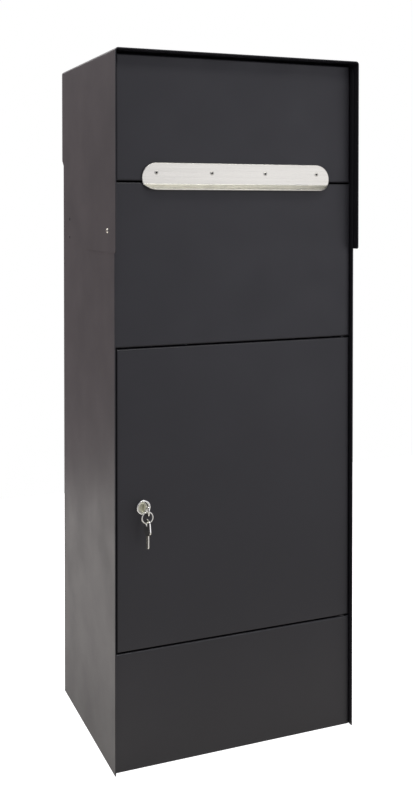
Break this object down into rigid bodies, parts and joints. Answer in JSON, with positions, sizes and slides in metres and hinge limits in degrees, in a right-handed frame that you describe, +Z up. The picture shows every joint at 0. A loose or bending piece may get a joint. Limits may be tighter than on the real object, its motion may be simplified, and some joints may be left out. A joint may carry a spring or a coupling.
{
  "type": "parcel drop box",
  "caption": "Free-standing sheet-steel parcel drop box with a rear-hinged hood linked to an anti-theft tray, a stainless pull handle and a lower door with a cam lock and keys.",
  "frame": {"origin": "on the floor, midway between the side walls and 147.5 mm ahead of the cabinet's back", "axes": "+Z up, +Y from the front to the back, +X to the right seen from the front"},
  "size_m": [0.4082, 0.3152, 1.07],
  "materials": {
    "painted_steel": "anthracite fine-texture powder coat",
    "zinc_steel": "bright zinc plated",
    "stainless": "fine brushed along its length",
    "lock_chrome": "polished",
    "lock_nickel": "satin nickel",
    "key_nickel": "nickel plated, lightly worn",
    "rubber": "matte",
    "nylon": "matte black nylon"
  },
  "bodies": {
    "cabinet": {"left_side_wall": "painted_steel", "right_side_wall": "painted_steel", "rear_wall": "painted_steel", "base_pan": "painted_steel", "plinth_panel": "painted_steel", "fascia_panel": "painted_steel", "latch_jamb": "painted_steel", "hinge_jamb": "painted_steel", "strike_plate": "zinc_steel", "rear_deflector": "painted_steel", "tray_bracket_left": "zinc_steel", "tray_bracket_right": "zinc_steel", "tray_washers": "nylon", "tray_clips": "zinc_steel", "wall_rivets": "painted_steel", "lid_hinge_fixed_leaf": "zinc_steel", "lid_hinge_pin": "zinc_steel", "lid_buffers": "rubber", "door_buffers": "rubber", "door_pin_washer": "nylon"},
    "lid": {"hood_shell": "painted_steel", "lid_flap": "painted_steel", "flap_gussets": "painted_steel", "lid_hinge_moving_leaf": "zinc_steel", "pull_handle": "stainless", "handle_backing": "nylon", "handle_rivets": "stainless", "glide_pads": "nylon", "glide_screws": "stainless", "link_bracket_left": "zinc_steel", "link_bracket_right": "zinc_steel", "lid_link_pins": "zinc_steel"},
    "tray": {"parcel_tray": "zinc_steel", "tray_edge_guard": "rubber", "tray_link_pins": "zinc_steel"},
    "left_link": {"link_rod_left": "zinc_steel"},
    "right_link": {"link_rod_right": "zinc_steel"},
    "door": {"door_panel": "painted_steel", "door_stiffener": "painted_steel", "door_hinge_brackets": "zinc_steel", "door_pin_upper": "painted_steel", "door_pin_lower": "painted_steel", "lock_body": "lock_chrome", "lock_nut": "zinc_steel"},
    "lock_core": {"lock_plug": "lock_nickel", "lock_cam": "zinc_steel", "cam_washer": "zinc_steel", "cam_nut": "zinc_steel"},
    "key": {"door_key": "key_nickel"},
    "ring": {"key_ring": "key_nickel"},
    "hanging_key": {"spare_key": "key_nickel"}
  },
  "joints": [
    {"name": "lid_hinge", "type": "hinge", "parent": "cabinet", "child": "lid", "pos_m": [0, 0.142, 1.0644], "axis": [-1, 0, 0], "range_deg": [0, 60]},
    {"name": "tray_swing", "type": "hinge", "parent": "cabinet", "child": "tray", "pos_m": [0, 0.109, 0.8035], "axis": [-1, 0, 0], "range_deg": [0, 60]},
    {"name": "left_link_pivot", "type": "hinge", "parent": "lid", "child": "left_link", "pos_m": [-0.1922, 0.067, 1.0564], "axis": [-1, 0, 0], "range_deg": [-60, 0]},
    {"name": "right_link_pivot", "type": "hinge", "parent": "lid", "child": "right_link", "pos_m": [0.1922, 0.067, 1.0564], "axis": [-1, 0, 0], "range_deg": [-60, 0]},
    {"name": "door_hinge", "type": "hinge", "parent": "cabinet", "child": "door", "pos_m": [0.186, -0.133, 0.4037], "axis": [0, 0, 1], "range_deg": [0, 105]},
    {"name": "lock_turn", "type": "hinge", "parent": "door", "child": "lock_core", "pos_m": [-0.1533, -0.1402, 0.3917], "axis": [0, 1, 0], "range_deg": [0, 90]},
    {"name": "key_slide", "type": "slide", "parent": "lock_core", "child": "key", "axis": [0, -1, 0], "range_m": [0, 0.022]},
    {"name": "ring_hang", "type": "hinge", "parent": "key", "child": "ring", "pos_m": [-0.1533, -0.1572, 0.3846], "axis": [0, 1, 0], "range_deg": [-90, 0]},
    {"name": "hanging_key_swing", "type": "hinge", "parent": "ring", "child": "hanging_key", "pos_m": [-0.1533, -0.1572, 0.37155], "axis": [1, 0, 0], "range_deg": [-35, 15]}
  ],
  "couplings": [
    {"joint": "tray_swing", "follows": "lid_hinge", "ratio": 1},
    {"joint": "left_link_pivot", "follows": "lid_hinge", "ratio": -1},
    {"joint": "right_link_pivot", "follows": "lid_hinge", "ratio": -1},
    {"joint": "ring_hang", "follows": "lock_turn", "ratio": -1}
  ]
}
